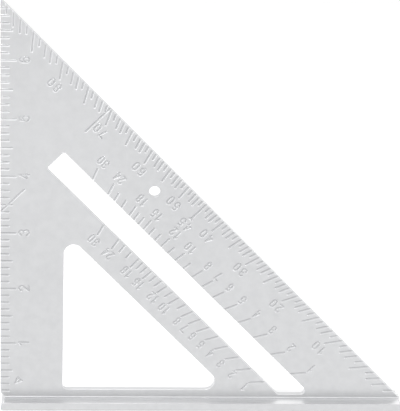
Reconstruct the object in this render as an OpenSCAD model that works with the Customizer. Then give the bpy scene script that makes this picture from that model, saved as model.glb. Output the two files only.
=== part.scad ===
// Seven inch rafter square: a triangular blade with a slot, a window and engraved scales,
// standing on a fence that reaches out on both sides of it.
// X runs along the fence, Y through the thickness and Z up. The front face looks along -Y.
// The origin lies under the middle of the fence. Lengths are in millimetres, angles in degrees.

/* [Blade] */
// Length of a leg, from the pivot corner to where the long edge runs out
leg_l = 178.4; // [165:0.1:215]
// Thickness of the blade
blade_t = 3.2; // [2.4:0.1:5]
// Width of the flat that blunts the upper tip
tip_flat = 0.6; // [0.3:0.1:2]
// Height of the flat that blunts the lower tip
toe_flat = 0.4; // [0.3:0.1:2]
// Size of the 45 degree cut at the pivot corner
pivot_cut = 2; // [1:0.1:3]
// Radius of the fillet at the foot of the blade
foot_r = 0.7; // [0.4:0.1:1.2]
// Height of the small step left where the fillet meets the milled face
foot_step = 0.1; // [0.05:0.05:0.2]

/* [Slot, window and hole] */
// Width of the band between the long edge and the slot
upper_band_w = 27.4; // [22:0.1:34]
// Width of the slot
slot_w = 10.6; // [8:0.1:14]
// From the straight edge to the nearest corner of the slot
slot_gap = 19.6; // [14:0.1:26]
// Height of the slot's lower end above the milled face
slot_floor = 1.5; // [0.8:0.1:3]
// Corner radius at the upper end of the slot
slot_top_r = 1.2; // [0.5:0.1:3]
// Corner radius at the lower end of the slot
slot_low_r = 2; // [0.5:0.1:3]
// Width of the band between the slot and the window
lower_band_w = 14.3; // [10:0.1:18]
// Width of the upright between the straight edge and the window
stile_w = 27.3; // [20:0.1:34]
// Height of the rail between the window and the milled face
rail_h = 3.65; // [2:0.05:8]
// Radius in the two sharp corners of the window
window_r = 4.3; // [2:0.1:6]
// Radius in the square corner of the window
window_square_r = 1.8; // [0.8:0.1:4]
// Diameter of the hanging hole
hole_d = 5; // [3:0.1:7]
// From the long edge to the centre of the hole
hole_in = 12; // [11:0.1:15]
// From the 45 degree line to the centre of the hole, towards the upper tip
hole_along = 20.6; // [15:0.1:30]

/* [Fence] */
// Thickness of the fence
fence_t = 3.5; // [3:0.1:5]
// Reach of the fence in front of the blade, and behind it
fence_reach = 7.2; // [5:0.1:12]
// Distance by which the fence stops short of the straight edge
fence_gap = 0.3; // [0.1:0.1:1.5]
// Radius on the upper edge of the fence at the pivot end
pivot_end_r = 1.6; // [0.5:0.1:2]
// Radius on the other edges of both ends
end_r = 0.7; // [0.3:0.1:1]
// Radius along the milled edges of the fence
milled_r = 0.35; // [0.2:0.05:0.6]
// Radius along the lower edges of the fence
base_r = 0.6; // [0.3:0.1:1]

/* [Seat of the blade in the fence] */
// Thickness of the tongue under the blade
tongue_t = 2; // [1.2:0.1:2.3]
// Depth of the tongue below the milled face
tongue_d = 1.8; // [1:0.1:2.4]
// Length of fence left solid beyond each end of the tongue
tongue_stop = 9; // [5:0.5:20]
// Room round the tongue in its groove
tongue_room = 0.1; // [0.05:0.05:0.2]

/* [Graduations] */
// Width of an engraved line
line_w = 1.2; // [0.8:0.1:1.4]
// Depth of an engraved line
line_d = 0.3; // [0.2:0.05:0.6]
// One inch
inch = 25.4; // [25.4]
// Steps in an inch
inch_steps = 8; // [4:4:8]
// Height of the zero of the inch scale above the milled face
inch_zero = -0.3; // [-0.5:0.05:0.5]
// Length of a line at a whole inch
inch_line = 7; // [5:0.1:9]
// Length of a line at a half inch
half_line = 5.4; // [4:0.1:7]
// Length of the lines in between
part_line = 4; // [2:0.1:5]
// Shift of the degree and rafter scales along the long edge, towards the upper tip
ray_shift = 0.7; // [-1:0.05:1]
// Reach of the degree lines at each fifth degree, square to the long edge
degree_five = 7; // [5:0.1:8]
// Reach of the two degree lines in the middle between those
degree_mid = 5; // [3:0.1:6]
// Reach of the degree lines next to each fifth degree
degree_near = 3.2; // [1.5:0.1:4]
// Reach of the line at 45 degrees
degree_45 = 10; // [7:0.1:12]
// Width of the bar across the inner end of that line
bar_45 = 2.4; // [1.5:0.1:4]
// Reach of the numbered common rafter lines, square to the slot
common_long = 5.7; // [4:0.1:8]
// Reach of the common rafter lines between the numbers
common_short = 4.4; // [2:0.1:6]
// Reach of the numbered hip and valley lines, square to the slot
hip_long = 5.7; // [3:0.1:7]
// Reach of the hip and valley lines between the numbers
hip_short = 4.4; // [2:0.1:5.5]
// Length of the cross line from the straight edge
cross_low = 15; // [8:0.1:18]
// Length of the cross line from the long edge
cross_high = 15.2; // [8:0.1:18]

/* [Hidden] */
$fn = 48;

// Rise in a run of 12 that the numbered and plain rafter lines stand for
numbered_rises = [1, 2, 3, 4, 5, 6, 7, 8, 10, 12, 15, 18, 24, 30];
plain_rises = [9, 11, 13, 14, 16, 17, 20, 22];
common_run = 12;
// A hip rafter runs along the diagonal of the common run
hip_run = common_run * sqrt(2);

// The blade is drawn with the pivot corner at zero, x along the fence and y up from the milled face.
// A line parallel to the long edge is given by the sum of x and y along it.
diagonal = sqrt(2);
slot_upper = leg_l - upper_band_w * diagonal;
slot_lower = slot_upper - slot_w * diagonal;
window_edge = slot_lower - lower_band_w * diagonal;
// The cross line runs at 45 degrees through the slot's upper end, at this height on the straight edge
cross_y = slot_lower - 2 * slot_gap;
blade_end = leg_l - toe_flat;
hole_x = (leg_l - (hole_in + hole_along) * diagonal) / 2;
hole_y = (leg_l - (hole_in - hole_along) * diagonal) / 2;
foot_w = blade_t + 2 * foot_r;
fence_w = blade_t + 2 * fence_reach;
tongue_start = pivot_cut + tongue_stop;
tongue_l = blade_end - tongue_stop - tongue_start;
// Cuts run this far past the surface that they open
past = 1;

// Moves from the pivot corner on the milled face to the shared origin
module at_pivot() {
    translate([-blade_end / 2, 0, fence_t])
        children();
}

// Stands a flat shape up as a plate of thickness t about the middle plane
module upright(t) {
    rotate([90, 0, 0])
        linear_extrude(t, center = true)
            children();
}

// Runs a section, drawn with x through the thickness and y up, along the fence
module along(start, length) {
    translate([start, 0, 0])
        rotate([90, 0, 90])
            linear_extrude(length)
                children();
}

function toward(a, b) = (b - a) / norm(b - a);

// Convex outline whose corners are rounded, each with its own radius
module rounded_outline(points, radii) {
    count = len(points);
    before = [for (i = [0:count - 1]) toward(points[i], points[(i + count - 1) % count])];
    after = [for (i = [0:count - 1]) toward(points[i], points[(i + 1) % count])];
    half = [for (i = [0:count - 1]) acos(before[i] * after[i]) / 2];
    setback = [for (i = [0:count - 1]) radii[i] / tan(half[i])];
    polygon([
        for (i = [0:count - 1])
            each [points[i] + before[i] * setback[i], points[i] + after[i] * setback[i]]
    ]);
    for (i = [0:count - 1])
        translate(points[i] + toward([0, 0], before[i] + after[i]) * radii[i] / sin(half[i]))
            circle(radii[i]);
}

// Engraved stroke between two points, with a round end at the second
module stroke(from, to) {
    run = to - from;
    translate(from)
        rotate(atan2(run.y, run.x)) {
            translate([0, -line_w / 2])
                square([norm(run) - line_w / 2, line_w]);
            translate([norm(run) - line_w / 2, 0])
                circle(d = line_w);
        }
}

// Stroke on a ray from the pivot corner, between two lines parallel to the long edge
module ray_stroke(angle, from_sum, to_sum) {
    ray = [cos(angle), sin(angle)] / (cos(angle) + sin(angle));
    stroke(ray * from_sum, ray * to_sum);
}

// Inch scale up the straight edge
module inch_scale() {
    step = inch / inch_steps;
    for (i = [1:floor((leg_l - tip_flat) / step)]) {
        reach = i % inch_steps == 0 ? inch_line : i % (inch_steps / 2) == 0 ? half_line : part_line;
        stroke([-past, i * step], [reach, i * step]);
    }
}

// Degree scale along the long edge, one line for each degree about the pivot corner
module degree_scale() {
    for (angle = [1:89]) {
        from_five = min(angle % 5, 5 - angle % 5);
        plain = from_five == 0 ? degree_five : from_five == 2 ? degree_mid : degree_near;
        reach = angle == 45 ? degree_45 : plain;
        ray_stroke(angle, leg_l + past, leg_l - reach * diagonal);
    }
    bar_middle = [1, 1] * (leg_l / 2 - (degree_45 - line_w / 2) / diagonal);
    bar_half = [1, -1] / diagonal * bar_45 / 2;
    stroke(bar_middle, bar_middle + bar_half);
    stroke(bar_middle, bar_middle - bar_half);
}

// Rafter lines on one side of the slot: they start at its edge and end at the given sums
module rafter_scale(run, edge_sum, long_sum, short_sum) {
    inside = edge_sum + (edge_sum > long_sum ? past : -past);
    for (rise = numbered_rises)
        ray_stroke(atan2(rise, run), inside, long_sum);
    for (rise = plain_rises)
        ray_stroke(atan2(rise, run), inside, short_sum);
}

// The two pieces of the 45 degree cross line, from the straight edge and from the long edge
module cross_line() {
    slope = [1, 1] / diagonal;
    low = [0, cross_y];
    high = [leg_l - cross_y, leg_l + cross_y] / 2;
    stroke(low - slope * past, low + slope * cross_low);
    stroke(high + slope * past, high - slope * cross_high);
}

// Sets a scale that points to the pivot corner along the long edge
module shift_rays() {
    translate([-1, 1] * ray_shift / diagonal)
        children();
}

// Both faces carry the inch and degree scales
module shared_graduations() {
    translate([0, inch_zero])
        inch_scale();
    shift_rays()
        degree_scale();
}

// The rafter scales and the cross line are on the front face only
module front_graduations() {
    shift_rays() {
        rafter_scale(common_run, slot_upper,
            slot_upper + common_long * diagonal, slot_upper + common_short * diagonal);
        rafter_scale(hip_run, slot_lower,
            slot_lower - hip_long * diagonal, slot_lower - hip_short * diagonal);
    }
    cross_line();
}

module blade_outline() {
    polygon([
        [pivot_cut, 0],
        [blade_end, 0],
        [blade_end, toe_flat],
        [tip_flat, leg_l - tip_flat],
        [0, leg_l - tip_flat],
        [0, pivot_cut]
    ]);
}

module slot_outline() {
    rounded_outline([
        [slot_gap, slot_lower - slot_gap],
        [slot_lower - slot_floor, slot_floor],
        [slot_upper - slot_floor, slot_floor],
        [slot_upper - cross_y, slot_upper + cross_y] / 2
    ], [slot_top_r, slot_low_r, slot_low_r, slot_top_r]);
}

module window_outline() {
    rounded_outline([
        [stile_w, rail_h],
        [window_edge - rail_h, rail_h],
        [stile_w, window_edge - stile_w]
    ], [window_square_r, window_r, window_r]);
}

// Section of the blade with the fillets at its foot
module blade_section() {
    translate([-blade_t / 2, 0])
        square([blade_t, leg_l]);
    difference() {
        translate([-foot_w / 2, 0])
            square([foot_w, foot_step + foot_r]);
        for (side = [-1, 1])
            translate([side * foot_w / 2, foot_step + foot_r])
                circle(foot_r);
    }
}

// Triangular blade that carries the scales, with its tongue under the milled face
module blade() {
    color([0.84, 0.84, 0.85])
        at_pivot() {
            difference() {
                intersection() {
                    upright(foot_w)
                        blade_outline();
                    along(0, leg_l)
                        blade_section();
                }
                upright(foot_w + 2 * past) {
                    slot_outline();
                    window_outline();
                }
                translate([hole_x, 0, hole_y])
                    rotate([90, 0, 0])
                        cylinder(blade_t + 2 * past, d = hole_d, center = true);
                for (side = [-1, 1])
                    translate([0, side * blade_t / 2, 0])
                        upright(2 * line_d)
                            shared_graduations();
                translate([0, -blade_t / 2, 0])
                    upright(2 * line_d)
                        front_graduations();
            }
            translate([tongue_start, -tongue_t / 2, -tongue_d])
                cube([tongue_l, tongue_t, tongue_d]);
        }
}

// Fence with milled upper faces and a closed groove for the tongue
module fence() {
    groove_t = tongue_t + 2 * tongue_room;
    color([0.76, 0.76, 0.78])
        at_pivot()
            difference() {
                intersection() {
                    upright(fence_w)
                        rounded_outline([
                            [fence_gap, -fence_t],
                            [blade_end, -fence_t],
                            [blade_end, 0],
                            [fence_gap, 0]
                        ], [end_r, end_r, end_r, pivot_end_r]);
                    along(0, blade_end)
                        rounded_outline([
                            [-fence_w / 2, -fence_t],
                            [fence_w / 2, -fence_t],
                            [fence_w / 2, 0],
                            [-fence_w / 2, 0]
                        ], [base_r, base_r, milled_r, milled_r]);
                }
                translate([tongue_start - tongue_room, -groove_t / 2, -tongue_d - tongue_room])
                    cube([tongue_l + 2 * tongue_room, groove_t, tongue_d + tongue_room + past]);
            }
}

blade();
fence();
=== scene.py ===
import math

import bpy
from mathutils import Matrix, Vector


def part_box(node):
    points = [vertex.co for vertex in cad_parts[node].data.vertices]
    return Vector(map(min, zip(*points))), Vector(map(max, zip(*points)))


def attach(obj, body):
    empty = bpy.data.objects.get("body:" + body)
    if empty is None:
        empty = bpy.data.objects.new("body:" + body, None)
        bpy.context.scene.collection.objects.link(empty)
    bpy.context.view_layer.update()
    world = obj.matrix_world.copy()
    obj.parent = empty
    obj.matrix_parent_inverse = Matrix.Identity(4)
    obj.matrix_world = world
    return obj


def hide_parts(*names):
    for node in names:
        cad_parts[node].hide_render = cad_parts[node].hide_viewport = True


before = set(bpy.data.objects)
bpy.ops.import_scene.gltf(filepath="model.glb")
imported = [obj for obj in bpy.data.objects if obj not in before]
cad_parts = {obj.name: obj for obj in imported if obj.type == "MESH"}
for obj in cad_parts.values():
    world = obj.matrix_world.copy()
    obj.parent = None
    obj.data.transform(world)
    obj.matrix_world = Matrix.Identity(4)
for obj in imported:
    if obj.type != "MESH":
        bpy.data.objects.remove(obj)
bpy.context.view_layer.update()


# Fence
# The bar under the blade that bears on the edge of a board. On the tool it is aluminium alloy, cast
# in one with the blade, and its upper faces are milled flat and square to the blade.
MM = 0.001
HAIR = 0.01 * MM
STRAIGHT_WAYS = ((1, 0, 0), (0, 1, 0), (0, 0, 1), (1, 0, 1), (-1, 0, 1))
FLAT_WAYS = [Vector(way).normalized() for way in STRAIGHT_WAYS]
PIVOT_END_R = 1.6 * MM
END_R = 0.7 * MM
LONG_EDGE_R = 0.15 * MM
CAST_DARK = (0.655, 0.66, 0.67, 1)
CAST_LIGHT = (0.685, 0.69, 0.70, 1)
CAST_MOTTLE = 3 * MM
CAST_GRAIN = 0.55 * MM
CAST_ROUGH = (0.40, 0.33)
GRAIN_DEPTH = 0.02 * MM
GRAIN_STRENGTH = 0.6
MILLED_DARK = (0.90, 0.902, 0.91, 1)
MILLED_LIGHT = (0.95, 0.952, 0.96, 1)
MILLED_STREAK = 0.35 * MM
MILLED_ROUGH = (0.26, 0.34)


def add_block(name, low, high):
    """A block between two corners, with its place in its mesh."""
    bpy.ops.object.select_all(action="DESELECT")
    bpy.ops.mesh.primitive_cube_add(size=1, location=(low + high) / 2)
    block = bpy.context.object
    block.name = name
    block.data.name = name
    block.scale = high - low
    bpy.ops.object.transform_apply(location=True, rotation=True, scale=True)
    return block


def pick_edges(piece, wanted):
    """Opens a piece for editing with only the edges selected whose two ends are wanted."""
    bpy.ops.object.mode_set(mode="EDIT")
    bpy.context.tool_settings.mesh_select_mode = (False, True, False)
    bpy.ops.mesh.select_all(action="DESELECT")
    bpy.ops.object.mode_set(mode="OBJECT")
    points = piece.data.vertices
    for edge in piece.data.edges:
        edge.select = wanted(points[edge.vertices[0]].co, points[edge.vertices[1]].co)
    bpy.ops.object.mode_set(mode="EDIT")


def round_edges(piece, wanted, radius, segments):
    """Rounds the wanted edges of a piece."""
    pick_edges(piece, wanted)
    bpy.ops.mesh.bevel(offset=radius, segments=segments, affect="EDGES", loop_slide=False)
    bpy.ops.object.mode_set(mode="OBJECT")


def runs_through(a, b):
    """True for an edge that runs straight through the thickness, along Y."""
    return abs(a.x - b.x) < HAIR and abs(a.z - b.z) < HAIR and abs(a.y - b.y) > HAIR


def smooth(piece):
    """Shades the rounded parts smooth and keeps the straight faces flat."""
    bpy.ops.object.select_all(action="DESELECT")
    piece.select_set(True)
    bpy.context.view_layer.objects.active = piece
    bpy.ops.object.shade_smooth_by_angle(angle=math.radians(30))
    for face in piece.data.polygons:
        face.use_smooth = all(abs(face.normal.dot(way)) < 0.9999 for way in FLAT_WAYS)


def noise(tree, size, detail, stretch=(1, 1, 1)):
    """Noise with patches of about a given size, stretched along an axis by a smaller share."""
    place = tree.nodes.new("ShaderNodeTexCoord")
    mapping = tree.nodes.new("ShaderNodeMapping")
    mapping.inputs["Scale"].default_value = stretch
    texture = tree.nodes.new("ShaderNodeTexNoise")
    texture.inputs["Scale"].default_value = 1 / size
    texture.inputs["Detail"].default_value = detail
    tree.links.new(place.outputs["Object"], mapping.inputs["Vector"])
    tree.links.new(mapping.outputs["Vector"], texture.inputs["Vector"])
    return texture.outputs["Fac"]


def spread(tree, value, low, high):
    """Maps the middle range of a noise onto a range of values."""
    node = tree.nodes.new("ShaderNodeMapRange")
    node.inputs["From Min"].default_value = 0.3
    node.inputs["From Max"].default_value = 0.7
    node.inputs["To Min"].default_value = low
    node.inputs["To Max"].default_value = high
    tree.links.new(value, node.inputs["Value"])
    return node.outputs["Result"]


def tint(tree, value, dark, light):
    """Blends two colours by a noise."""
    node = tree.nodes.new("ShaderNodeMix")
    node.data_type = "RGBA"
    node.inputs[6].default_value = dark
    node.inputs[7].default_value = light
    tree.links.new(spread(tree, value, 0, 1), node.inputs[0])
    return node.outputs[2]


def metal(name):
    """A new bare metal and its node tree."""
    made = bpy.data.materials.new(name)
    made.use_nodes = True
    shader = made.node_tree.nodes["Principled BSDF"]
    shader.inputs["Metallic"].default_value = 1
    return made, made.node_tree, shader


def relief(tree, shader, height, distance, strength):
    """Raises a fine relief on a finish."""
    bump = tree.nodes.new("ShaderNodeBump")
    bump.inputs["Distance"].default_value = distance
    bump.inputs["Strength"].default_value = strength
    tree.links.new(height, bump.inputs["Height"])
    tree.links.new(bump.outputs["Normal"], shader.inputs["Normal"])


def cast_finish():
    """Satin casting skin with a fine grain and faint cloudy patches."""
    made, tree, shader = metal("cast_aluminium_skin")
    mottle = noise(tree, CAST_MOTTLE, 4)
    grain = noise(tree, CAST_GRAIN, 2)
    tree.links.new(tint(tree, mottle, CAST_DARK, CAST_LIGHT), shader.inputs["Base Color"])
    tree.links.new(spread(tree, mottle, *CAST_ROUGH), shader.inputs["Roughness"])
    relief(tree, shader, grain, GRAIN_DEPTH, GRAIN_STRENGTH)
    return made


def milled_finish():
    """Bright face with the fine streaks that a milling cutter leaves along it."""
    made, tree, shader = metal("milled_aluminium_face")
    streak = noise(tree, MILLED_STREAK, 3, (0.02, 1, 1))
    tree.links.new(tint(tree, streak, MILLED_DARK, MILLED_LIGHT), shader.inputs["Base Color"])
    tree.links.new(spread(tree, streak, *MILLED_ROUGH), shader.inputs["Roughness"])
    return made


fence_low, fence_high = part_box("fence")
fence = add_block("fence_bar", fence_low, fence_high)
round_edges(
    fence,
    lambda a, b: runs_through(a, b) and a.x < 0 and a.z > fence_high.z - HAIR,
    PIVOT_END_R,
    6,
)
round_edges(
    fence,
    lambda a, b: runs_through(a, b) and (a.x > 0 or a.z < fence_low.z + HAIR),
    END_R,
    4,
)
round_edges(
    fence,
    lambda a, b: abs(a.y - b.y) < HAIR and abs(abs(a.y) - fence_high.y) < HAIR,
    LONG_EDGE_R,
    3,
)
cast_aluminium = cast_finish()
fence.data.materials.append(cast_aluminium)
fence.data.materials.append(milled_finish())
for face in fence.data.polygons:
    face.material_index = int(face.normal.z > 0.99)
smooth(fence)
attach(fence, "root")
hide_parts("fence")


# Blade
# The triangular plate of cast aluminium alloy that carries the scales. Small fillets join it to the
# fence. The slanted slot, the triangular window and the hanging hole are cast through it.
BLADE_T = 3.2 * MM
LEG = 178.4 * MM
PIVOT_CUT = 2 * MM
FOOT_R = 0.7 * MM
FOOT_STEP = 0.1 * MM
FOOT_SHARE = 0.98
UPPER_BAND_W = 27.4 * MM
SLOT_W = 10.6 * MM
SLOT_GAP = 19.6 * MM
SLOT_FLOOR = 1.5 * MM
SLOT_TOP_R = 1.2 * MM
SLOT_LOW_R = 2 * MM
LOWER_BAND_W = 14.3 * MM
STILE_W = 27.3 * MM
RAIL_H = 3.65 * MM
WINDOW_R = 4.3 * MM
WINDOW_SQUARE_R = 1.8 * MM
HOLE_D = 5 * MM
HOLE_IN = 12 * MM
HOLE_ALONG = 20.6 * MM
SOFT_EDGE = 0.22 * MM
CELL = 12.7 * MM
CELL_ACROSS = 13.2 * MM
CELL_UP = 1.29 * MM
PAST = 4 * MM
DIAGONAL = math.sqrt(2)

blade_low, blade_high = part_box("blade")
milled_z = fence_high.z
pivot = Vector((blade_low.x, 0, milled_z))
UP_SLOPE = Vector((-1, 0, 1)).normalized()
OUTWARD = Vector((1, 0, 1)).normalized()

# Distances from the pivot corner, square to the long edge
long_edge = LEG / DIAGONAL
slot_upper = long_edge - UPPER_BAND_W
slot_lower = slot_upper - SLOT_W
window_edge = slot_lower - LOWER_BAND_W
# The cross line runs through the slot's upper end and meets the straight edge at this height
cross_height = slot_lower * DIAGONAL - 2 * SLOT_GAP
foot_w = BLADE_T + 2 * FOOT_R


def cut_off(piece, point, outward, fill=True, clear=True):
    """Cuts a piece with a plane and takes away what lies beyond it."""
    bpy.ops.object.mode_set(mode="EDIT")
    bpy.ops.mesh.select_all(action="SELECT")
    bpy.ops.mesh.bisect(plane_co=point, plane_no=outward, use_fill=fill, clear_outer=clear)
    bpy.ops.object.mode_set(mode="OBJECT")


def join(pieces):
    """Makes one object of several, which keeps the first one's name."""
    bpy.ops.object.select_all(action="DESELECT")
    for piece in pieces:
        piece.select_set(True)
    bpy.context.view_layer.objects.active = pieces[0]
    bpy.ops.object.join()
    return pieces[0]


def take_away(piece, cutter):
    """Cuts a piece with another closed shape, which is then gone."""
    bpy.ops.object.select_all(action="DESELECT")
    piece.select_set(True)
    bpy.context.view_layer.objects.active = piece
    cut = piece.modifiers.new("cut", "BOOLEAN")
    cut.operation = "DIFFERENCE"
    cut.solver = "MANIFOLD"
    cut.object = cutter
    bpy.ops.object.modifier_apply(modifier=cut.name)
    bpy.data.objects.remove(cutter)


def on_blade(x, z):
    """Point on the middle plane, x along the fence from the pivot corner and z up."""
    return pivot + Vector((x, 0, z))


def rod(radius, middle):
    """A round rod through the blade."""
    bpy.ops.object.select_all(action="DESELECT")
    bpy.ops.mesh.primitive_cylinder_add(
        vertices=64,
        radius=radius,
        depth=foot_w + PAST,
        location=middle,
        rotation=(math.radians(90), 0, 0),
    )
    made = bpy.context.object
    bpy.ops.object.transform_apply(location=True, rotation=True, scale=True)
    return made


def rounded_core(corners, radii):
    """A core for an opening: a rod in each corner, wrapped by one convex skin."""
    rods = []
    for i, (corner, radius) in enumerate(zip(corners, radii)):
        before = (corners[i - 1] - corner).normalized()
        after = (corners[(i + 1) % len(corners)] - corner).normalized()
        half_angle = before.angle(after) / 2
        inward = (before + after).normalized()
        rods.append(rod(radius, corner + inward * radius / math.sin(half_angle)))
    core = join(rods)
    bpy.ops.object.mode_set(mode="EDIT")
    bpy.ops.mesh.select_all(action="SELECT")
    bpy.ops.mesh.convex_hull()
    bpy.ops.object.mode_set(mode="OBJECT")
    return core


blade = add_block(
    "blade_casting",
    Vector((blade_low.x, -BLADE_T / 2, milled_z)),
    Vector((blade_high.x, BLADE_T / 2, blade_high.z)),
)

# The foot is drawn out of the lowest strip and blended into the plate
foot_top = milled_z + FOOT_STEP
cut_off(blade, Vector((0, 0, foot_top)), Vector((0, 0, 1)), fill=False, clear=False)
bpy.ops.object.mode_set(mode="EDIT")
bpy.context.tool_settings.mesh_select_mode = (False, False, True)
bpy.ops.mesh.select_all(action="DESELECT")
bpy.ops.object.mode_set(mode="OBJECT")
for face in blade.data.polygons:
    face.select = abs(face.normal.y) > 0.9 and face.center.z < foot_top
bpy.ops.object.mode_set(mode="EDIT")
bpy.ops.mesh.extrude_region_move()
bpy.ops.transform.resize(value=(1, foot_w / BLADE_T, 1), center_override=(0, 0, 0))
bpy.ops.object.mode_set(mode="OBJECT")


def foot_corner(a, b):
    """True for the two inner corners between the foot and the plate."""
    level = all(abs(p.z - foot_top) < HAIR for p in (a, b))
    inner = all(abs(abs(p.y) - BLADE_T / 2) < HAIR for p in (a, b))
    return level and inner and abs(a.y - b.y) < HAIR


# The fillet stays just short of the foot's outer edges
round_edges(blade, foot_corner, FOOT_SHARE * FOOT_R, 8)
blade.data.materials.append(cast_aluminium)
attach(blade, "root")
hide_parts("blade")

# The long edge and the cut at the pivot corner
cut_off(blade, pivot + OUTWARD * long_edge, OUTWARD)
cut_off(blade, pivot + Vector((PIVOT_CUT, 0, 0)), -OUTWARD)

# Slot, window and hanging hole
slot_low_sum = slot_lower * DIAGONAL
slot_high_sum = slot_upper * DIAGONAL
slot_core = rounded_core(
    [
        on_blade(SLOT_GAP, slot_low_sum - SLOT_GAP),
        on_blade(slot_low_sum - SLOT_FLOOR, SLOT_FLOOR),
        on_blade(slot_high_sum - SLOT_FLOOR, SLOT_FLOOR),
        on_blade((slot_high_sum - cross_height) / 2, (slot_high_sum + cross_height) / 2),
    ],
    [SLOT_TOP_R, SLOT_LOW_R, SLOT_LOW_R, SLOT_TOP_R],
)
take_away(blade, slot_core)
window_sum = window_edge * DIAGONAL
window_core = rounded_core(
    [
        on_blade(STILE_W, RAIL_H),
        on_blade(window_sum - RAIL_H, RAIL_H),
        on_blade(STILE_W, window_sum - STILE_W),
    ],
    [WINDOW_SQUARE_R, WINDOW_R, WINDOW_R],
)
take_away(blade, window_core)
hole_middle = pivot + OUTWARD * (long_edge - HOLE_IN) + UP_SLOPE * HOLE_ALONG
take_away(blade, rod(HOLE_D / 2, hole_middle))

# The rims that the mould leaves soft
bpy.ops.object.mode_set(mode="EDIT")
bpy.context.tool_settings.mesh_select_mode = (False, True, False)
bpy.ops.mesh.select_all(action="DESELECT")
bpy.ops.mesh.edges_select_sharp(sharpness=math.radians(35))
bpy.ops.object.mode_set(mode="OBJECT")
sharp = {edge.index for edge in blade.data.edges if edge.select}
points = blade.data.vertices
for edge in blade.data.edges:
    a, b = (points[i].co for i in edge.vertices)
    above_foot = min(a.z, b.z) > foot_top + FOOT_R
    edge.select = edge.index in sharp and above_foot and not runs_through(a, b)
bpy.ops.object.mode_set(mode="EDIT")
bpy.ops.mesh.bevel(offset=SOFT_EDGE, segments=3, affect="EDGES", loop_slide=False)
bpy.ops.object.mode_set(mode="OBJECT")

# The mesh is divided into cells, so that no face of it has to take up too many marks
for way, first in ((Vector((1, 0, 0)), CELL_ACROSS), (Vector((0, 0, 1)), CELL_UP)):
    for count in range(int(LEG / CELL)):
        cut_off(blade, pivot + way * (first + count * CELL), way, fill=False, clear=False)


# Scale lines
# The lines of the scales are sunk into the casting, with a flat bottom and sloping sides. The inch
# lines stand on the straight edge, and the degree and rafter lines point towards the pivot corner.
LINE_W = 1.15 * MM
LINE_BOTTOM_W = 0.2 * MM
LINE_D = 0.4 * MM
CLEAR = 0.05 * MM
INCH = 25.4 * MM
INCH_STEPS = 8
INCH_ZERO = -0.3 * MM
INCH_LINE = 7 * MM
HALF_LINE = 5.4 * MM
PART_LINE = 4 * MM
RAY_SHIFT = 0.7 * MM
DEGREE_FIVE = 7 * MM
DEGREE_MID = 5 * MM
DEGREE_NEAR = 3.2 * MM
DEGREE_45 = 10 * MM
BAR_45 = 2.4 * MM
COMMON_LONG = 5.7 * MM
COMMON_SHORT = 4.4 * MM
HIP_LONG = 5.7 * MM
HIP_SHORT = 4.4 * MM
CROSS_LOW = 15 * MM
CROSS_HIGH = 15.2 * MM
OVERRUN = 2 * MM
NUMBERED_RISES = (1, 2, 3, 4, 5, 6, 7, 8, 10, 12, 15, 18, 24, 30)
PLAIN_RISES = (9, 11, 13, 14, 16, 17, 20, 22)
COMMON_RUN = 12
HIP_RUN = COMMON_RUN * DIAGONAL
FRONT = -1
BACK = 1

# One cutter for a line along X, with its round tip at zero: two cones in one convex skin
line_top_w = LINE_W + (LINE_W - LINE_BOTTOM_W) * CLEAR / LINE_D
long_way = 10 * MM
cones = []
for x in (0, long_way):
    bpy.ops.object.select_all(action="DESELECT")
    bpy.ops.mesh.primitive_cone_add(
        vertices=16,
        radius1=LINE_BOTTOM_W / 2,
        radius2=line_top_w / 2,
        depth=LINE_D + CLEAR,
        location=(x, (LINE_D - CLEAR) / 2, 0),
        rotation=(math.radians(90), 0, 0),
    )
    bpy.ops.object.transform_apply(location=True, rotation=True, scale=True)
    cones.append(bpy.context.object)
line_cutter = join(cones)
bpy.ops.object.mode_set(mode="EDIT")
bpy.ops.mesh.select_all(action="SELECT")
bpy.ops.mesh.convex_hull()
bpy.ops.object.mode_set(mode="OBJECT")


def placed(cutter, side, x, z, turn, shift=0, stretch=0):
    """A copy of a cutter on a face, turned anticlockwise on the front and clockwise on the back."""
    copy = cutter.copy()
    copy.data = cutter.data.copy()
    bpy.context.collection.objects.link(copy)
    for point in copy.data.vertices:
        if stretch and point.co.x > long_way / 2:
            point.co.x += stretch - long_way
    place = Matrix.Translation(on_blade(x, z) + Vector((0, side * BLADE_T / 2, 0)))
    face = Matrix.Rotation(0 if side == FRONT else math.pi, 4, "Z")
    spin = Matrix.Rotation(side * turn, 4, "Y")
    copy.data.transform(place @ face @ spin @ Matrix.Translation((shift, 0, 0)))
    return copy


def line(side, tip, tail):
    """A line with round ends, between two points given from the pivot corner."""
    reach = tail - tip
    start = tip + reach.normalized() * LINE_W / 2
    turn = math.atan2(-side * reach.z, -side * reach.x)
    return placed(line_cutter, side, start.x, start.z, turn, 0, reach.length - LINE_W)


def ray_line(side, rise, run, tip_out, tail_out):
    """A line on a ray from near the pivot corner, between two distances from it to the long edge."""
    ray = Vector((run, 0, rise)) * DIAGONAL / (run + rise)
    start = UP_SLOPE * RAY_SHIFT
    return line(side, start + ray * tip_out, start + ray * tail_out)


inch_lines = []
degree_lines = []
for side in (FRONT, BACK):
    step = INCH / INCH_STEPS
    for count in range(1, int((blade_high.z - milled_z) / step) + 1):
        reach = PART_LINE
        if count % INCH_STEPS == 0:
            reach = INCH_LINE
        elif count % (INCH_STEPS // 2) == 0:
            reach = HALF_LINE
        height = INCH_ZERO + count * step
        tip = Vector((reach, 0, height))
        inch_lines.append(line(side, tip, Vector((-OVERRUN, 0, height))))
    for angle in range(1, 90):
        from_five = min(angle % 5, 5 - angle % 5)
        reach = (DEGREE_FIVE, DEGREE_NEAR, DEGREE_MID)[from_five]
        if angle == 45:
            reach = DEGREE_45
        turn = math.radians(angle)
        degree_lines.append(
            ray_line(side, math.sin(turn), math.cos(turn), long_edge - reach, long_edge + OVERRUN)
        )
take_away(blade, join(inch_lines))
take_away(blade, join(degree_lines))

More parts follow.
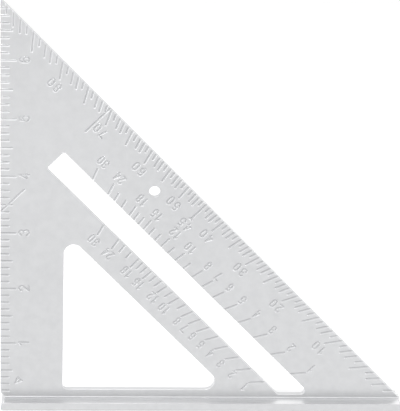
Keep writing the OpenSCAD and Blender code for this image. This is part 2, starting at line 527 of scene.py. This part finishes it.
rafter_lines = []
for rises, common, hip in (
    (NUMBERED_RISES, COMMON_LONG, HIP_LONG),
    (PLAIN_RISES, COMMON_SHORT, HIP_SHORT),
):
    for rise in rises:
        rafter_lines.append(
            ray_line(FRONT, rise, COMMON_RUN, slot_upper + common, slot_upper - OVERRUN)
        )
        rafter_lines.append(
            ray_line(FRONT, rise, HIP_RUN, slot_lower - hip, slot_lower + OVERRUN)
        )
take_away(blade, join(rafter_lines))

# The two pieces of the cross line, and the bar on the line at 45 degrees
cross_foot = Vector((0, 0, cross_height))
cross_head = Vector((LEG - cross_height, 0, LEG + cross_height)) / 2
cross_lines = [
    line(FRONT, cross_foot + OUTWARD * CROSS_LOW, cross_foot - OUTWARD * OVERRUN),
    line(FRONT, cross_head - OUTWARD * CROSS_HIGH, cross_head + OUTWARD * OVERRUN),
]
bar_middle = UP_SLOPE * RAY_SHIFT + OUTWARD * (long_edge - DEGREE_45 + LINE_W / 2)
bar_half = UP_SLOPE * BAR_45 / 2
cross_lines += [line(side, bar_middle + bar_half, bar_middle - bar_half) for side in (FRONT, BACK)]
take_away(blade, join(cross_lines))
bpy.data.objects.remove(line_cutter)


# Numerals
# Plain numbers beside the scales, sunk into the casting like the lines. They are drawn with strokes
# of one width and read with their tops towards the pivot corner, or towards the straight edge.
STROKE_W = 1.0 * MM
STROKE_BOTTOM_W = 0.2 * MM
STROKE_D = 0.36 * MM
DEGREE_DIGIT = (2.75 * MM, 4.75 * MM)
RAFTER_DIGIT = (2.45 * MM, 4.7 * MM)
INCH_DIGIT = (3.2 * MM, 5.1 * MM)
DEGREE_ADVANCE = 3.55 * MM
RAFTER_ADVANCE = 2.65 * MM
DEGREE_ROW = 116.25 * MM
MIDDLE_ROW = 113.2 * MM
COMMON_ROW = 107.45 * MM
HIP_ROW = 80.05 * MM
INCH_ROW = 10.1 * MM
TOPS_TO_PIVOT = math.radians(135)
TOPS_TO_EDGE = math.radians(90)
PIVOT_MARK_NEAR = 9.2 * MM
PIVOT_MARK_FAR = 11.9 * MM
PIVOT_MARK_HALF = 1.15 * MM

# Section of a stroke, from its flat bottom to just clear of the face
stroke_top_w = STROKE_W + (STROKE_W - STROKE_BOTTOM_W) * CLEAR / STROKE_D
section = bpy.data.curves.new("stroke_section", "CURVE")
section.dimensions = "2D"
corners = section.splines.new("POLY")
corners.points.add(3)
corners.use_cyclic_u = True
for corner, (x, y) in zip(
    corners.points,
    (
        (-STROKE_BOTTOM_W / 2, -STROKE_D),
        (STROKE_BOTTOM_W / 2, -STROKE_D),
        (stroke_top_w / 2, CLEAR),
        (-stroke_top_w / 2, CLEAR),
    ),
):
    corner.co = (x, y, 0, 1)
stroke_section = bpy.data.objects.new("stroke_section", section)
bpy.context.collection.objects.link(stroke_section)


def arc(x, z, half_w, half_h, start, end):
    """Points along an oval arc between two angles, about every twenty degrees."""
    steps = max(2, round(abs(end - start) / 20))
    turns = [math.radians(start + (end - start) * i / steps) for i in range(steps + 1)]
    return [(x + half_w * math.cos(turn), z + half_h * math.sin(turn)) for turn in turns]


# Strokes of each digit in a box one wide and one high; a stroke that ends where it starts is a ring
DIGITS = {
    "0": [arc(0.5, 0.7, 0.5, 0.3, 0, 180) + arc(0.5, 0.3, 0.5, 0.3, 180, 360) + [(1, 0.7)]],
    "1": [[(0.1, 0.78), (0.6, 1)], [(0.6, 1), (0.6, 0)]],
    "2": [arc(0.5, 0.72, 0.48, 0.28, 170, -38) + [(0, 0)], [(0, 0), (1, 0)]],
    "3": [arc(0.48, 0.755, 0.46, 0.245, 160, -90), arc(0.46, 0.265, 0.54, 0.265, 85, -160)],
    "4": [[(0.72, 0), (0.72, 1)], [(0.72, 1), (0, 0.28)], [(0, 0.28), (1, 0.28)]],
    "5": [
        [(0.92, 1), (0.14, 1)],
        [(0.14, 1), (0.06, 0.56)],
        [(0.06, 0.56)] + arc(0.46, 0.32, 0.54, 0.32, 110, -150),
    ],
    "6": [arc(0.5, 0.3, 0.5, 0.3, 0, 360), arc(0.5, 0.72, 0.48, 0.28, 30, 180) + [(0, 0.3)]],
    "7": [[(0, 1), (1, 1)], [(1, 1), (0.4, 0)]],
    "8": [arc(0.5, 0.76, 0.45, 0.24, 0, 360), arc(0.5, 0.265, 0.5, 0.265, 0, 360)],
}


def stroke_cutter(strokes):
    """A closed cutter along strokes in the plane of the blade, with rounded ends."""
    path = bpy.data.curves.new("strokes", "CURVE")
    path.dimensions = "2D"
    path.fill_mode = "NONE"
    path.bevel_mode = "OBJECT"
    path.bevel_object = stroke_section
    path.use_fill_caps = True
    tips = [math.radians(turn) for turn in (30, 55, 78)]
    for stroke in strokes:
        route = [Vector((x, z, 0)) for x, z in stroke]
        is_ring = (route[0] - route[-1]).length < HAIR
        if is_ring:
            route.pop()
            stations = [(point, 1) for point in route]
        else:
            first = (route[0] - route[1]).normalized() * STROKE_W / 2
            last = (route[-1] - route[-2]).normalized() * STROKE_W / 2
            stations = [(route[0] + first * math.sin(t), math.cos(t)) for t in reversed(tips)]
            stations += [(point, 1) for point in route]
            stations += [(route[-1] + last * math.sin(t), math.cos(t)) for t in tips]
        spline = path.splines.new("POLY")
        spline.points.add(len(stations) - 1)
        for point, (place, share) in zip(spline.points, stations):
            point.co = (*place, 1)
            point.radius = share
        spline.use_cyclic_u = is_ring
    made = bpy.data.objects.new("strokes", path)
    bpy.context.collection.objects.link(made)
    bpy.ops.object.select_all(action="DESELECT")
    made.select_set(True)
    bpy.context.view_layer.objects.active = made
    bpy.ops.object.convert(target="MESH")
    made = bpy.context.object
    bpy.ops.object.mode_set(mode="EDIT")
    bpy.ops.mesh.select_all(action="SELECT")
    bpy.ops.mesh.remove_doubles(threshold=HAIR / 10)
    bpy.ops.mesh.normals_make_consistent(inside=False)
    bpy.ops.mesh.intersect_boolean(operation="UNION", use_self=True, solver="EXACT")
    bpy.ops.object.mode_set(mode="OBJECT")
    made.data.transform(Matrix.Rotation(math.radians(90), 4, "X"))
    return made


def digit_cutters(width, height):
    """One cutter for each digit at an outer size, about its middle."""
    across = width - STROKE_W
    up = height - STROKE_W
    return {
        digit: stroke_cutter(
            [[((x - 0.5) * across, (z - 0.5) * up) for x, z in stroke] for stroke in strokes]
        )
        for digit, strokes in DIGITS.items()
    }


def number(value, cutters, advance, side, x, z, turn):
    """The digits of a number, set side by side about a point."""
    digits = str(value)
    first = -advance * (len(digits) - 1) / 2
    return [
        placed(cutters[digit], side, x, z, turn, first + advance * i)
        for i, digit in enumerate(digits)
    ]


def on_ray(rise, run, line_end, row, shift=RAY_SHIFT):
    """Place in a row of numbers, square above the inner end of a line on a ray."""
    along = shift + line_end * (rise - run) / (rise + run)
    return (row - along) / DIAGONAL, (row + along) / DIAGONAL


degree_digits = digit_cutters(*DEGREE_DIGIT)
rafter_digits = digit_cutters(*RAFTER_DIGIT)
inch_digits = digit_cutters(*INCH_DIGIT)
numerals = []
for side in (FRONT, BACK):
    for angle in range(10, 90, 10):
        turn = math.radians(angle)
        x, z = on_ray(math.sin(turn), math.cos(turn), long_edge - DEGREE_FIVE, DEGREE_ROW)
        numerals += number(angle, degree_digits, DEGREE_ADVANCE, side, x, z, TOPS_TO_PIVOT)
    x, z = on_ray(1, 1, long_edge, MIDDLE_ROW)
    numerals += number(45, degree_digits, DEGREE_ADVANCE, side, x, z, TOPS_TO_PIVOT)
    for inches in range(1, 7):
        numerals += number(inches, inch_digits, 0, side, INCH_ROW, inches * INCH, TOPS_TO_EDGE)
for rise in NUMBERED_RISES:
    x, z = on_ray(rise, COMMON_RUN, slot_upper + COMMON_LONG, COMMON_ROW)
    numerals += number(rise, rafter_digits, RAFTER_ADVANCE, FRONT, x, z, TOPS_TO_PIVOT)
    x, z = on_ray(rise, HIP_RUN, slot_lower - HIP_LONG, HIP_ROW, RAY_SHIFT / 2)
    numerals += number(rise, rafter_digits, RAFTER_ADVANCE, FRONT, x, z, TOPS_TO_PIVOT)

# A small triangle that points to the pivot corner
mark_far = PIVOT_MARK_FAR / DIAGONAL
mark_half = PIVOT_MARK_HALF / DIAGONAL
mark_tip = (PIVOT_MARK_NEAR / DIAGONAL, PIVOT_MARK_NEAR / DIAGONAL)
mark_high = (mark_far - mark_half, mark_far + mark_half)
mark_low = (mark_far + mark_half, mark_far - mark_half)
pivot_mark = stroke_cutter(
    [[mark_tip, mark_high], [mark_high, mark_low], [mark_low, mark_tip]]
)
numerals.append(placed(pivot_mark, FRONT, 0, 0, 0))
take_away(blade, join(numerals))
cutters = [*degree_digits.values(), *rafter_digits.values(), *inch_digits.values()]
for used in [*cutters, pivot_mark, stroke_section]:
    bpy.data.objects.remove(used)
smooth(blade)


# Floor
# A wide sheet of white paper that the square stands on. In front of it, out of the picture, lies a
# card of one tone that only the metal mirrors, so that the faces of the metal look even.
FLOOR_W = 8
PAPER_WHITE = (0.85, 0.85, 0.85, 1)
PAPER_LIFT = 0.38
PAPER_ROUGH = 0.9
CARD_TONE = 1.09
CARD_NEAR = 0.009
CARD_FAR = 1.6
CARD_W = 1.0
CARD_RISE = 0.3 * MM


def seen_rays(tree):
    """One for rays from the camera, from a mirror or through glass, and zero for the rest."""
    rays = tree.nodes.new("ShaderNodeLightPath")
    total = rays.outputs["Is Camera Ray"]
    for other in ("Is Glossy Ray", "Is Transmission Ray"):
        node = tree.nodes.new("ShaderNodeMath")
        node.operation = "MAXIMUM"
        tree.links.new(total, node.inputs[0])
        tree.links.new(rays.outputs[other], node.inputs[1])
        total = node.outputs["Value"]
    return total


def sheet(name, low, high, height, colour):
    """A flat sheet on the floor and its shader."""
    bpy.ops.object.select_all(action="DESELECT")
    middle = ((low[0] + high[0]) / 2, (low[1] + high[1]) / 2, height)
    bpy.ops.mesh.primitive_plane_add(size=1, location=middle)
    made = bpy.context.object
    made.name = name
    made.scale = (high[0] - low[0], high[1] - low[1], 1)
    bpy.ops.object.transform_apply(location=True, rotation=True, scale=True)
    finish = bpy.data.materials.new(name)
    finish.use_nodes = True
    made.data.materials.append(finish)
    shader = finish.node_tree.nodes["Principled BSDF"]
    shader.inputs["Base Color"].default_value = colour
    shader.inputs["Roughness"].default_value = PAPER_ROUGH
    shader.inputs["Specular IOR Level"].default_value = 0
    shader.inputs["Emission Color"].default_value = (1, 1, 1, 1)
    return made, finish.node_tree, shader


half_floor = FLOOR_W / 2
floor, tree, shader = sheet(
    "floor", (-half_floor, -half_floor), (half_floor, half_floor), 0, PAPER_WHITE
)
lift = tree.nodes.new("ShaderNodeMath")
lift.operation = "MULTIPLY"
lift.inputs[1].default_value = PAPER_LIFT
tree.links.new(seen_rays(tree), lift.inputs[0])
tree.links.new(lift.outputs["Value"], shader.inputs["Emission Strength"])

card, tree, shader = sheet(
    "grey_card", (-CARD_W / 2, -CARD_FAR), (CARD_W / 2, -CARD_NEAR), CARD_RISE, (0, 0, 0, 1)
)
shader.inputs["Emission Strength"].default_value = CARD_TONE
card.visible_camera = False
card.visible_diffuse = False
card.visible_transmission = False
card.visible_shadow = False


# Light
# A white room, a little darker on the camera's side. A wide soft lamp stands high up on the left and
# a panel on either side, a strip hangs above, and a small lamp on the floor lights the upper scales.
ROOM_FILL = 0.35
ROOM_FRONT = 0.72
ROOM_BACK = 1
ROOM_TOP = 1.1
OVERHEAD = 1.3
OVERHEAD_SPREAD = math.radians(50)
OVERHEAD_FROM = Vector((-0.35, 0.25, 1))
PANEL_OUT = 0.5
PANEL_HEIGHT = 0.3
PANEL_SIZE = 0.6
PANEL_POWER = 1.1
STRIP_PLACE = (0, -0.07, 0.30)
STRIP_L = 0.5
STRIP_W = 0.06
STRIP_POWER = 0.08
UPLIGHT_PLACE = Vector((-0.06, -0.05, 0.005))
UPLIGHT_AIM = Vector((-0.07, 0, 0.17))
UPLIGHT_L = 0.06
UPLIGHT_W = 0.03
UPLIGHT_SPREAD = math.radians(25)
UPLIGHT_POWER = 0.004
world = bpy.data.worlds.new("white_room")
bpy.context.scene.world = world
world.use_nodes = True
tree = world.node_tree
background = tree.nodes["Background"]
background.inputs["Color"].default_value = (1, 1, 1, 1)
place = tree.nodes.new("ShaderNodeTexCoord")
axes = tree.nodes.new("ShaderNodeSeparateXYZ")
tree.links.new(place.outputs["Generated"], axes.inputs["Vector"])


def ramp(tree, value, start, end, low, high):
    """A smooth step between two values."""
    node = tree.nodes.new("ShaderNodeMapRange")
    node.interpolation_type = "SMOOTHSTEP"
    node.inputs["From Min"].default_value = start
    node.inputs["From Max"].default_value = end
    node.inputs["To Min"].default_value = low
    node.inputs["To Max"].default_value = high
    tree.links.new(value, node.inputs["Value"])
    return node.outputs["Result"]


front_side = ramp(tree, axes.outputs["Y"], -0.5, -0.1, ROOM_FRONT, ROOM_BACK)
overhead = ramp(tree, axes.outputs["Z"], 0.4, 0.65, 0, ROOM_TOP)
mirrored = tree.nodes.new("ShaderNodeMath")
mirrored.operation = "MAXIMUM"
tree.links.new(front_side, mirrored.inputs[0])
tree.links.new(overhead, mirrored.inputs[1])
to_camera = tree.nodes.new("ShaderNodeMath")
to_camera.operation = "MAXIMUM"
rays = tree.nodes.new("ShaderNodeLightPath")
tree.links.new(mirrored.outputs["Value"], to_camera.inputs[0])
tree.links.new(rays.outputs["Is Camera Ray"], to_camera.inputs[1])
strength = tree.nodes.new("ShaderNodeMix")
strength.inputs[2].default_value = ROOM_FILL
tree.links.new(seen_rays(tree), strength.inputs[0])
tree.links.new(to_camera.outputs["Value"], strength.inputs[3])
tree.links.new(strength.outputs[0], background.inputs["Strength"])


def lamp(kind, place, from_where):
    """A lamp that shines from a direction towards the square."""
    bpy.ops.object.light_add(type=kind, location=place)
    made = bpy.context.object
    made.rotation_euler = from_where.to_track_quat("Z", "Y").to_euler()
    return made.data


def area_lamp(place, from_where, length, width, power):
    """A flat lamp of a given size that shines from a direction towards the square."""
    made = lamp("AREA", place, from_where)
    made.shape = "RECTANGLE"
    made.size = length
    made.size_y = width
    made.energy = power
    return made


softbox = lamp("SUN", (0, 0, 1), OVERHEAD_FROM)
softbox.energy = OVERHEAD
softbox.angle = OVERHEAD_SPREAD
area_lamp(STRIP_PLACE, Vector((0, 0, 1)), STRIP_L, STRIP_W, STRIP_POWER)
for out in (-PANEL_OUT, PANEL_OUT):
    place = (out, 0, PANEL_HEIGHT)
    area_lamp(place, Vector((out, 0, 0)), PANEL_SIZE, PANEL_SIZE, PANEL_POWER)
uplight = area_lamp(
    UPLIGHT_PLACE, UPLIGHT_PLACE - UPLIGHT_AIM, UPLIGHT_L, UPLIGHT_W, UPLIGHT_POWER
)
uplight.spread = UPLIGHT_SPREAD


# Camera
# It looks down on the square from the front left, with a long lens.
CAMERA_PLACE = Vector((-0.058716, -0.782871, 0.327445))
CAMERA_PITCH = 0.291
CAMERA_YAW = 0.071
CAMERA_ROLL = 0.031
LENS = 170.24
lens = bpy.data.cameras.new("camera")
lens.sensor_fit = "HORIZONTAL"
lens.sensor_width = 36
lens.lens = LENS
camera = bpy.data.objects.new("camera", lens)
bpy.context.scene.collection.objects.link(camera)
camera.matrix_world = (
    Matrix.Translation(CAMERA_PLACE)
    @ Matrix.Rotation(-CAMERA_YAW, 4, "Z")
    @ Matrix.Rotation(math.pi / 2 - CAMERA_PITCH, 4, "X")
    @ Matrix.Rotation(CAMERA_ROLL, 4, "Z")
)
bpy.context.scene.camera = camera
bpy.context.scene.view_settings.view_transform = "Standard"
